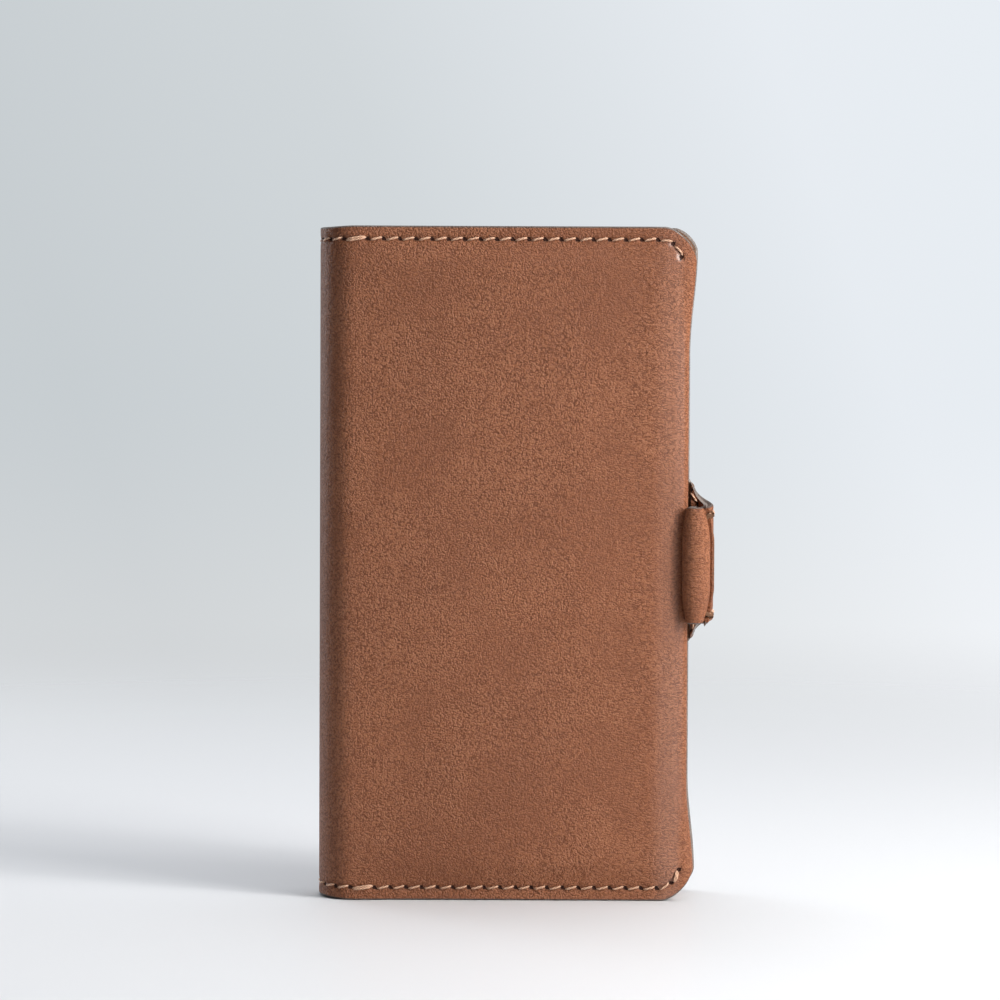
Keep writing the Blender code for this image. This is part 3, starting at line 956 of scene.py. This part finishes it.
print("front leather:", len(front_leather().data.polygons), "faces")

# %% Back leather and strap
CREASE_U = 3 * MM                          # where the spine's leather ends on the back cover
BACK_CORNER = 5.8 * MM
EDGE_ZONE = 9 * MM                         # width of the finer grid beside the fore-edge
STRAP_START = (BACK_EDGE - WAIST + 1.2 * MM, BACK_Y, STRAP_Z)
STRAP_END = (STRAP_START[0] + 4.5 * MM, BACK_Y - 3.6 * MM, STRAP_Z)


def spine_back_leather():
    columns = stretches((-QUARTER, 0.5 * MM), (0, 0.6 * MM), (CREASE_U,))
    x_of = back_surface(columns, columns * 0 + HEIGHT / 2)[:, 0]
    points, mark = sheet_grid(columns, spine_lift(x_of), back_surface, back_rows, -1)
    piece = hide("spine_back_leather", points, mark, turned=True)
    across_joint(piece, "spine", "back_panel", SEAM, BACK_CREASE, "spine_leather")


def strap_grid(root):
    """Places and heights of the strap's sheet, from the heights of the column it grows from."""
    shares = (root - root[0]) / (root[-1] - root[0])
    middle, half = (root[-1] + root[0]) / 2, (root[-1] - root[0]) / 2
    places, heights = [], []
    for number in range(1, STRAP_POINTS):
        fade = math.exp(-number)
        limit = strap_limit(number) + (half - strap_limit(0)) * fade
        level = STRAP_Z + (middle - STRAP_Z) * fade + (2 * shares - 1) * limit
        places.append([strap_at(number, z) for z in level])
        heights.append(level)
    return np.array(places), np.array(heights)


def back_leather():
    """The back cover with the strap grown on to the middle rows of its last column."""
    edge = BACK_EDGE - SPINE_X
    columns = stretches((CREASE_U, 0.9 * MM),
                        (edge - EDGE_ZONE, lambda u: 0.5 * MM if u < edge - 1 * MM else 0.14 * MM), (edge,))
    lift = corner_lift(SPINE_X + columns - OVERHANG, BACK_CORNER)
    points, mark = sheet_grid(columns, lift, back_surface, back_rows, -1, end=edge)
    last = points[-1]
    inside = np.where(np.abs(last[:, 2] - STRAP_Z) <= STRAP_HALF + FLARE)[0]
    low, high = inside[0], inside[-1]
    strap, heights = strap_grid(last[low:high + 1, 2])
    u = np.repeat(STRAP_LENGTHS[1:, None], heights.shape[1], 1)
    strap_mark = nearest_row(strap_rows, u, heights)
    from_edge = np.minimum(heights - heights.min(1)[:, None], heights.max(1)[:, None] - heights)
    strap_mark[:, 2] = from_edge.ravel()
    strap = pressed(strap, strap_mark, -1, from_edge=from_edge)

    vertices, quads = lay_quads(points)
    total, wide = points.shape[1], strap.shape[1]
    ring = [(len(columns) - 1) * total + j for j in range(low, high + 1)]
    for number in range(strap.shape[0]):
        ahead = [len(vertices) + number * wide + j for j in range(wide)]
        quads += [(ring[j], ahead[j], ahead[j + 1], ring[j + 1]) for j in range(wide - 1)]
        ring = ahead
    quads = [tuple(reversed(quad)) for quad in quads]
    vertices = np.concatenate([vertices, strap.reshape(-1, 3)])
    marks = np.concatenate([mark, strap_mark])
    piece = mesh_piece("back_leather_and_strap", vertices, quads, [LEATHER, FLESH, EDGE], marks)
    thicken(piece, SHELL, BURNISH)
    across_joint(piece, "back_panel", "closure_strap", STRAP_START, STRAP_END,
                 "back_cover_leather", "strap_outer_leather")
    return piece


spine_back_leather()
print("back leather:", len(back_leather().data.polygons), "faces")

# %% [markdown]
# ## Thread
#
# Each row is one piece of thread.  The spine's share of a back row is its own piece, because it lies across
# another joint than the rest.

# %% Thread
def sew_covers():
    for place, row in zip(("bottom", "top"), front_rows):
        thread = sew(f"front_{place}_thread_stitched", row)
        across_joint(thread, "spine", "front_panel", SEAM, FRONT_CREASE, f"front_{place}_thread")
    for place, row in zip(("bottom", "top"), flap_rows):
        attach(sew(f"flap_{place}_thread", row), "front_panel")
    for place, row in zip(("bottom", "top"), back_rows):
        turn = int((QUARTER + CREASE_U) / PITCH)
        spine = sew(f"spine_{place}_thread_stitched", row, 0, turn)
        across_joint(spine, "spine", "back_panel", SEAM, BACK_CREASE, f"spine_{place}_thread")
        back = sew(f"back_{place}_thread_stitched", row, turn)
        across_joint(back, "back_panel", "closure_strap", STRAP_START, STRAP_END, f"back_{place}_thread")
    for place, row in zip(("bottom", "top"), strap_rows):
        strap = sew(f"strap_{place}_thread_stitched", row)
        across_joint(strap, "back_panel", "closure_strap", STRAP_START, STRAP_END, f"strap_{place}_thread")


sew_covers()


# %% [markdown]
# ## Linings
#
# A lining is a thinner leather glued behind the outer one.  It follows the same formula a little deeper, so
# `deeper` makes the inner surface out of the outer one by walking back along its normals.  Over the stiffening
# board the lining stands away, and round the board it is pressed down, which gives its soft padded edge.

# %% Linings of the back and of the strap
LINING_THICK = 0.8 * MM
LINING_INSET = 0.9 * MM                    # how far the back lining stays inside the cover's edge
LINING_GROOVE = LINING_BURNISH = 0.12 * MM
GLUE = 0.1 * MM
board_low, board_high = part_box("back_stiffener")


def deeper(surface, depth, side):
    """The same sheet, moved inward along its normals by depth(u, z)."""
    def moved(u, z):
        tiny = 0.3 * MM
        across = surface(u + tiny, z) - surface(u - tiny, z)
        upward = surface(u, z + tiny) - surface(u, z - tiny)
        normal = np.cross(across, upward) * side
        normal /= np.linalg.norm(normal, axis=-1)[..., None] + 1e-12
        return surface(u, z) - normal * np.asarray(depth(u, z))[..., None]

    return moved


def padding(u, z):
    """Depth of the back lining's visible face below the outer leather."""
    x = SPINE_X + u
    wide = ease(x, board_low.x - 3 * MM, board_low.x) * ease(x, board_high.x + 1.6 * MM, board_high.x)
    tall = ease(z, board_low.z - 2 * MM, board_low.z) * ease(z, board_high.z + 2 * MM, board_high.z)
    flat = SHELL + GLUE + LINING_THICK
    return flat + (BACK_Y - LINING_Y - flat) * wide * tall


def lining_steps(z):
    return 0.45 * MM if min(z, HEIGHT - z) < 8 * MM else 1.3 * MM


inner_back = deeper(back_surface, padding, -1)
inner_back_rows = two_rows(route_back(), inner_back, 1)
INNER_HEIGHTS = spread(0.7 * MM, HEIGHT - 0.7 * MM, lining_steps)


def back_lining():
    edge = BACK_EDGE - SPINE_X - LINING_INSET
    columns = stretches((-QUARTER + 0.4 * MM, 0.6 * MM), (9 * MM, 1.2 * MM), (edge - EDGE_ZONE, 0.6 * MM),
                        (edge,))
    lift = corner_lift(SPINE_X + columns + LINING_INSET - OVERHANG, BACK_CORNER)
    u, z = cut_grid(columns, INNER_HEIGHTS, lift)
    mark = nearest_row(inner_back_rows, u, z)
    points = pressed(inner_back(u, z), mark, 1, LINING_GROOVE)
    piece = hide("back_lining", points, mark, LINING, LINING_THICK, LINING_BURNISH)
    across_joint(piece, "spine", "back_panel", SEAM, BACK_CREASE, "back_lining_leather")
    for place, row in zip(("bottom", "top"), inner_back_rows):
        thread = sew(f"back_lining_{place}_thread", row, 1)
        across_joint(thread, "spine", "back_panel", SEAM, BACK_CREASE)
    print("back lining:", len(piece.data.polygons), "faces")


STRAP_LINING = 1.1 * MM
LINING_STOP = STRAP_LENGTHS[BAR_START - 4]


def strap_lining():
    """The strap's inner face; it stops where the strap rolls round its bar."""
    inner = deeper(strap_sheet, lambda u, z: SHELL + GLUE + STRAP_LINING + 0 * u, -1)
    columns = spread(0.3 * MM, LINING_STOP, 0.5 * MM)
    shares = np.linspace(-1, 1, 64)
    limits = np.array([strap_limit(n) for n in np.interp(columns, STRAP_LENGTHS, range(STRAP_POINTS))])
    u = np.repeat(columns[:, None], len(shares), 1)
    z = STRAP_Z + shares[None, :] * (limits[:, None] - 0.35 * MM)
    flat_route = [(length, STRAP_Z + (strap_limit(n) - STRAP_MARGIN))
                  for n, length in enumerate(STRAP_LENGTHS) if 0.3 * MM < length < LINING_STOP - 1 * MM]
    rows = [Row([(a, 2 * STRAP_Z - b) for a, b in flat_route], inner, 1), Row(flat_route, inner, 1)]
    mark = nearest_row(rows, u, z)
    points = pressed(inner(u, z), mark, 1, LINING_GROOVE)
    piece = hide("strap_lining", points, mark, LEATHER, STRAP_LINING, 0.15 * MM)
    across_joint(piece, "back_panel", "closure_strap", STRAP_START, STRAP_END, "strap_lining_leather")
    for place, row in zip(("bottom", "top"), rows):
        thread = sew(f"strap_lining_{place}_thread", row)
        across_joint(thread, "back_panel", "closure_strap", STRAP_START, STRAP_END)
    print("strap lining:", len(piece.data.polygons), "faces")


back_lining()
strap_lining()

# %% Lining of the spine's front half
FRONT_LINING_END = 1.8 * MM                # just short of the board, and under the flap
FRONT_LINING_DEPTH = 2.4 * MM


def spine_lining():
    inner = deeper(front_surface, lambda u, z: FRONT_LINING_DEPTH + 0 * u, 1)
    columns = spread(-QUARTER + 0.05 * MM, FRONT_LINING_END, 0.6 * MM)
    u, z = np.meshgrid(columns, INNER_HEIGHTS, indexing="ij")
    mark = np.tile([0.0, FAR, FAR], (u.size, 1))
    piece = hide("spine_lining_front", inner(u, z), mark, LINING, LINING_THICK, LINING_BURNISH, turned=True)
    across_joint(piece, "spine", "front_panel", SEAM, FRONT_CREASE, "spine_lining")
    print("spine lining:", len(piece.data.polygons), "faces")


spine_lining()

# %% [markdown]
# ## The phone sleeve
#
# The sleeve is wet-moulded: the leather is pressed over a block, so it has a flat flange that is sewn down and
# soft walls that rise to a flat top.  That is a height field, so one grid and one expression make it.  Its
# mouth is at the spine, with a thumb notch.

# %% Phone sleeve
sleeve_low, sleeve_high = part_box("phone_sleeve")
FLANGE = 5.5 * MM
NOTCH = 12 * MM
WALL_RUN = 4.2 * MM                        # how far the rounded wall takes to reach the flat top
SLEEVE_ROUND = 11 * MM
SLEEVE_WALL = 1.1 * MM
FLANGE_FACE = sleeve_high.y - SLEEVE_WALL + 0.1 * MM


def sleeve_face(x, z):
    """Visible face of the sleeve: the flange, the moulded wall and the flat top."""
    beyond_x = np.clip(x - (sleeve_high.x - SLEEVE_ROUND), 0, None)
    beyond_z = np.clip(np.abs(z - HEIGHT / 2) - (sleeve_high.z - HEIGHT / 2 - SLEEVE_ROUND), 0, None)
    inner = np.minimum(sleeve_high.x - x, sleeve_high.z - HEIGHT / 2 - np.abs(z - HEIGHT / 2))
    inset = np.where(inner < SLEEVE_ROUND, SLEEVE_ROUND - np.hypot(beyond_x, beyond_z), inner)
    share = np.clip((inset - FLANGE) / WALL_RUN, 0, 1)
    rise = (1 - (1 - share) ** 2.6) ** 0.8
    pillow = np.sin(np.clip(inset / (30 * MM), 0, 1) * math.pi / 2) * 0.35 * MM
    y = FLANGE_FACE + (sleeve_low.y + 0.5 * MM - FLANGE_FACE) * rise - pillow * rise
    return np.stack([x, y + ripple(x, z, 0.08 * MM) * rise, z], -1)


def sleeve_mouth(z):
    """Left edge of the sleeve, with the notch that a thumb goes into."""
    away = np.abs(z - HEIGHT / 2)
    dip = np.sqrt(np.clip(NOTCH ** 2 - away ** 2, 0, None))
    return sleeve_low.x + 0.3 * MM + dip * ease(away, NOTCH + 1 * MM, NOTCH - 2 * MM)


def flange_route():
    """Round the three sewn sides, 2 mm in from the edge, with round corners."""
    inset, round_by = 2.0 * MM, 4 * MM
    right, low = sleeve_high.x - inset, sleeve_low.z + inset
    corner = arc(right - round_by, low + round_by, round_by, -90, 0, 10)
    lower = [(sleeve_low.x + 2 * MM, low)] + corner + [(right, HEIGHT / 2)]
    return lower + [(x, HEIGHT - z) for x, z in lower[-2::-1]]


def sleeve_steps(z):
    return 0.5 * MM if min(z - sleeve_low.z, sleeve_high.z - z) < SLEEVE_ROUND else 1.2 * MM


def phone_sleeve():
    row = Row(flange_route(), sleeve_face, 1)
    share = np.concatenate([np.linspace(0, 0.86, 90)[:-1], np.linspace(0.86, 1, 40)])
    heights = spread(sleeve_low.z, sleeve_high.z, sleeve_steps)
    mouth = sleeve_mouth(heights)
    over = np.clip((share - 0.94) / 0.06, 0, 0.99)
    lift = 4.5 * MM * (1 - np.sqrt(1 - over ** 2))
    x = mouth[None, :] + (sleeve_high.x - mouth[None, :]) * share[:, None]
    centre = HEIGHT / 2
    z = centre + (heights[None, :] - centre) * (1 - lift[:, None] / (sleeve_high.z - centre))
    mark = row.coordinates(x, z)
    points = pressed(sleeve_face(x, z), mark, 1, 0.15 * MM)
    piece = hide("moulded_phone_sleeve", points, mark, LINING, SLEEVE_WALL, 0.2 * MM)
    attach(piece, "back_panel")
    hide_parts("phone_sleeve")
    thread = sew("phone_sleeve_thread", row)
    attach(thread, "back_panel")
    print("phone sleeve:", len(piece.data.polygons), "faces")


phone_sleeve()

# %% [markdown]
# ## Card pockets
#
# Three thin pockets lie on the inside of the front cover, each lower than the one before, so their mouths make
# steps.  Each mouth has a pressed line and stands a hair away, and the outermost pocket carries the stitches
# that hold them all.

# %% Card pockets
MOUTH_LINE = 2.2 * MM


def card_pocket(number):
    low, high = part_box(f"card_pocket_{number}")
    face_y = high.y
    thick = high.y - low.y - 0.06 * MM

    def face(x, z):
        open_by = 0.12 * MM * ease(z, high.z - 16 * MM, high.z)
        middle = np.sin(np.clip((x - low.x) / (high.x - low.x), 0, 1) * math.pi)
        line = 0.16 * MM * np.exp(-((z - high.z + MOUTH_LINE) / (0.35 * MM)) ** 2)
        y = face_y + (open_by + ripple(x * 1.7, z * 1.7, 0.03 * MM)) * middle - line
        return np.stack([x, y, z], -1)

    inset, round_by = 1.8 * MM, 3 * MM
    corner = arc(low.x + inset + round_by, low.z + inset + round_by, round_by, 180, 270, 8)
    half = [(low.x + inset, high.z - 1.2 * MM)] + corner
    route = half + [(low.x + high.x - x, z) for x, z in half[::-1]]
    row = Row(route, face, -1)
    columns = stretches((low.x, 0.5 * MM), (low.x + 4 * MM, 1.6 * MM), (high.x - 4 * MM, 0.5 * MM),
                        (high.x,))
    heights = spread(low.z, high.z, lambda z: 0.3 * MM if z > high.z - 4 * MM else
                     (0.5 * MM if z < low.z + 5 * MM else 1.4 * MM))
    x, z = np.meshgrid(columns, heights, indexing="ij")
    mark = row.coordinates(x, z)
    points = pressed(face(x, z), mark, -1, 0.1 * MM)
    piece = hide(f"stitched_card_pocket_{number}", points, mark, LINING, thick, 0.1 * MM, turned=True)
    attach(piece, "front_panel")
    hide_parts(f"card_pocket_{number}")
    thread = sew(f"card_pocket_{number}_thread", row)
    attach(thread, "front_panel")


for number in (1, 2, 3):
    card_pocket(number)
print("three card pockets")

# %% [markdown]
# ## What the leather hides
#
# The boards, the steel keeper and the magnet bar keep the frame's own shapes.  They only need finishes: grey
# bonded fibre for the boards, and nickel with fine brushed lines for the steel.

# %% Boards and steel
def fibre_board():
    finish = Finish("fibre_board", 0.85, place=None, Specular_IOR_Level=0.25)
    fibres = finish.place.stretch(1, 1, 0.25).noise(900, 4, 0.7)
    finish.feed("Base Color", mix(fibres.step(0.3, 0.7), (0.16, 0.135, 0.115), (0.29, 0.255, 0.22)))
    finish.relief((fibres, 0.0001))
    return finish.material


def brushed_nickel():
    finish = Finish("brushed_nickel", 0.32, place=None, Metallic=1.0)
    lines = finish.place.stretch(1, 1, 0.02).noise(9000, 3, 0.6)
    finish.feed("Base Color", mix(lines, (0.50, 0.49, 0.47), (0.66, 0.65, 0.63)))
    finish.feed("Roughness", lines * 0.2 + 0.22)
    finish.relief((lines, 0.00002))
    return finish.material


def coat_nodes(material, *names):
    for name in names:
        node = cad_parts[name]
        for place in node.material_slots:
            place.material = material
        print(name, "is", material.name)


coat_nodes(fibre_board(), "back_stiffener", "front_stiffener")
coat_nodes(brushed_nickel(), "keeper_plate", "strap_magnet_bar")


# %% Core of the strap's bar
CORE_RINGS, CORE_SIDES = 41, 20


def bar_core():
    """A strip of leather that fills the rolled bar and shows at its two ends."""
    rings = []
    core_half = STRAP_HALF - 0.25 * MM
    for z in np.linspace(STRAP_Z - core_half, STRAP_Z + core_half, CORE_RINGS):
        bar = strap_section(z)[BAR_START:BAR_START + BAR_POINTS]
        centre = np.array([(bar[:, 0].max() + bar[:, 0].min()) / 2, BAR_Y])
        half = np.array([(bar[:, 0].max() - bar[:, 0].min()) / 2, centre[1] - bar[:, 1].min()])
        half = np.maximum(half - SHELL - 0.05 * MM, 0.2 * MM)
        rings.append([(centre[0] + half[0] * math.cos(t), centre[1] + half[1] * math.sin(t), z)
                      for t in np.linspace(0, 2 * math.pi, CORE_SIDES, endpoint=False)])
    points = np.array(rings).reshape(-1, 3)
    number = np.arange(len(points)).reshape(CORE_RINGS, CORE_SIDES)
    onward = np.roll(number, -1, axis=1)
    sides = np.stack([number[:-1], onward[:-1], onward[1:], number[1:]], -1).reshape(-1, 4).tolist()
    faces = sides + [number[0, ::-1].tolist(), number[-1].tolist()]
    piece = mesh_piece("strap_bar_core", points, faces, [EDGE])
    remember_place(piece)
    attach(piece, "closure_strap")
    return piece


print("bar core:", len(bar_core().data.polygons), "faces")

# %% [markdown]
# ## Studio
#
# The wallet stands on a pale floor that fades into a pale surround, so there is no horizon line.  The light
# is soft and comes mostly from the right, close enough to fall off across the cover.

# %% Camera
FIELD = 250.8 * MM                         # width of what the camera sees at the front cover
CAMERA_X = -5.34 * MM
CAMERA_Z = 152 * MM
AIM_Z = 101.3 * MM
DISTANCE = 900 * MM
SHIFT = -0.06                              # the lens is shifted, so that upright edges stay upright
ROLL_DEGREES = -0.25


def set_camera():
    data = bpy.data.cameras.new("camera")
    data.sensor_width = 36
    data.lens = data.sensor_width * DISTANCE / FIELD
    data.shift_y = SHIFT
    camera = bpy.data.objects.new("camera", data)
    bpy.context.scene.collection.objects.link(camera)
    level = AIM_Z - SHIFT * FIELD
    pitch = math.atan((CAMERA_Z - level) / DISTANCE)
    camera.location = (CAMERA_X, FRONT_Y - DISTANCE, CAMERA_Z)
    camera.rotation_euler = (math.pi / 2 - pitch, math.radians(ROLL_DEGREES), 0)
    bpy.context.scene.camera = camera
    print("camera looks down", round(math.degrees(pitch), 2), "degrees")


# %% Lights and surround
def area_light(name, place, target, size, power, colour=(1, 1, 1)):
    data = bpy.data.lights.new(name, "AREA")
    data.shape = "RECTANGLE"
    data.size, data.size_y = size
    data.energy = power
    data.color = colour
    lamp = bpy.data.objects.new(name, data)
    lamp.location = place
    lamp.rotation_euler = (Vector(target) - Vector(place)).to_track_quat("-Z", "Y").to_euler()
    bpy.context.scene.collection.objects.link(lamp)


def surround():
    """A pale surround, painted lighter to the right and below the horizon as if the studio light fell on it; as
    a source of light it is dimmer than it looks.
    """
    world = bpy.data.worlds.new("studio")
    world.use_nodes = True
    bpy.context.scene.world = world
    tree = world.node_tree
    start = Socket(tree, None)
    x, _, z = start.node("ShaderNodeTexCoord").parts()
    # painted light: the backdrop seen by the camera is lighter to the right and below the horizon, where the
    # light from the right would fall on it
    side = (x * 3.3 + z * 1.2 + 0.42).clip()
    high = side.node("ShaderNodeValToRGB", {"stops": [
        (0.0, (0.575, 0.615, 0.64)), (0.35, (0.64, 0.68, 0.705)), (0.75, (0.80, 0.84, 0.885)),
        (1.0, (0.81, 0.855, 0.90))]}, {0: side})
    low = side.node("ShaderNodeValToRGB", {"stops": [
        (0.0, (0.66, 0.68, 0.695)), (0.4, (0.74, 0.76, 0.77)), (0.8, (0.90, 0.92, 0.95)),
        (1.0, (0.92, 0.945, 0.97))]}, {0: side})
    seen = mix((0 - z).step(0.02, 0.12), high, low)
    to_camera = start.node("ShaderNodeLightPath")
    colour = mix(to_camera, (0.16, 0.17, 0.185), seen)
    tree.links.new(colour.socket, tree.nodes["Background"].inputs["Color"])


FLOOR_CLEAR, FLOOR_END = 0.05, 0.8         # metres from the wallet where the floor starts and ends fading


def floor():
    finish = Finish("pale_floor", 0.45, place=None, Base_Color=(0.68, 0.69, 0.705, 1),
                    Specular_IOR_Level=0.35)
    away = finish.place.node("ShaderNodeVectorMath", {"operation": "LENGTH"}, {0: finish.place}, 1)
    finish.feed("Alpha", 1 - away.step(FLOOR_CLEAR, FLOOR_END))
    tool = bmesh.new()
    bmesh.ops.create_circle(tool, cap_ends=True, segments=96, radius=FLOOR_END + 0.1)
    mesh = bpy.data.meshes.new("floor")
    tool.to_mesh(mesh)
    tool.free()
    mesh.materials.append(finish.material)
    ground = bpy.data.objects.new("floor", mesh)
    bpy.context.scene.collection.objects.link(ground)


bpy.context.scene.view_settings.view_transform = "Standard"
set_camera()
surround()
floor()
area_light("right_softbox", (0.60, -0.34, 0.46), (0, 0, 0.11), (0.35, 0.6), 6.6, (1, 0.98, 0.95))
area_light("top_softbox", (0.15, 0.3, 1.3), (0, 0.1, 0.0), (1.6, 1.4), 17, (0.97, 0.98, 1))
area_light("right_strip", (0.42, -0.22, 0.12), (0, 0, 0.09), (0.06, 0.6), 2.0, (1, 0.98, 0.97))
area_light("left_edge_light", (-0.5, 0.45, 0.3), (0, 0, 0.09), (0.25, 0.5), 1.6, (0.93, 0.96, 1))
